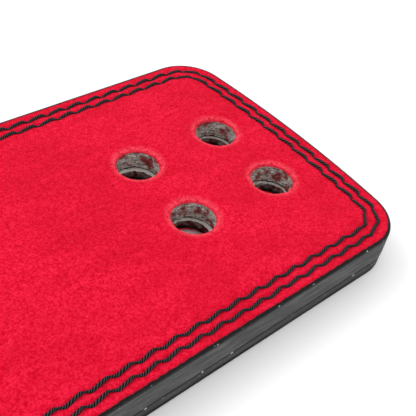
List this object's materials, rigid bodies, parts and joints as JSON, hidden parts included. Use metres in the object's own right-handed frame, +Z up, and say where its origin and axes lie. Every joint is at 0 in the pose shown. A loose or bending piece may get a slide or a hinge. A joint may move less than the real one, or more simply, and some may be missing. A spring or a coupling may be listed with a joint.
{
  "type": "weightlifting lever belt",
  "caption": "Wide suede-faced leather lifting belt, laid flat, with paired peg holes in its tongue and an over-centre lever buckle.",
  "frame": {"origin": "under the middle of the belt, on the surface that its inner face lies on", "axes": "+X along the belt to the tongue end with the peg holes, +Y across its width, +Z up out of the outer face"},
  "size_m": [1, 0.1, 0.0392],
  "materials": {
    "red_suede": "napped suede, matt",
    "leather_core": "undyed split leather, fibrous where it is cut",
    "edge_dressing": "black edge dressing, satin",
    "black_thread": "waxed bonded nylon thread",
    "buckle_steel": "satin stainless steel",
    "fastener_steel": "plated steel",
    "spacer_nylon": "moulded nylon"
  },
  "bodies": {
    "belt": {"outer_suede": "red_suede", "outer_leather": "leather_core", "inner_leather": "leather_core", "inner_suede": "red_suede", "edge_coat_upper": "edge_dressing", "edge_coat_lower": "edge_dressing", "facing_thread_outer": "black_thread", "facing_thread_inner": "black_thread", "lining_thread_outer": "black_thread", "lining_thread_inner": "black_thread", "base_plate": "buckle_steel", "base_screws": "fastener_steel", "screw_washers": "fastener_steel", "barrel_nuts": "fastener_steel", "pivot_rivets": "fastener_steel"},
    "lever": {"lever_handle": "buckle_steel"},
    "hook": {"hook_plate": "buckle_steel", "hook_pegs": "fastener_steel", "link_pin": "fastener_steel", "pin_spacers": "spacer_nylon"}
  },
  "joints": [
    {"name": "lever_hinge", "type": "hinge", "parent": "belt", "child": "lever", "pos_m": [-0.4295, 0, 0.03], "axis": [0, -1, 0], "range_deg": [0, 120]},
    {"name": "hook_hinge", "type": "hinge", "parent": "lever", "child": "hook", "pos_m": [-0.41571, 0, 0.02757], "axis": [0, -1, 0], "range_deg": [-120, 0]}
  ],
  "couplings": [
    {"joint": "hook_hinge", "follows": "lever_hinge", "ratio": -1}
  ]
}
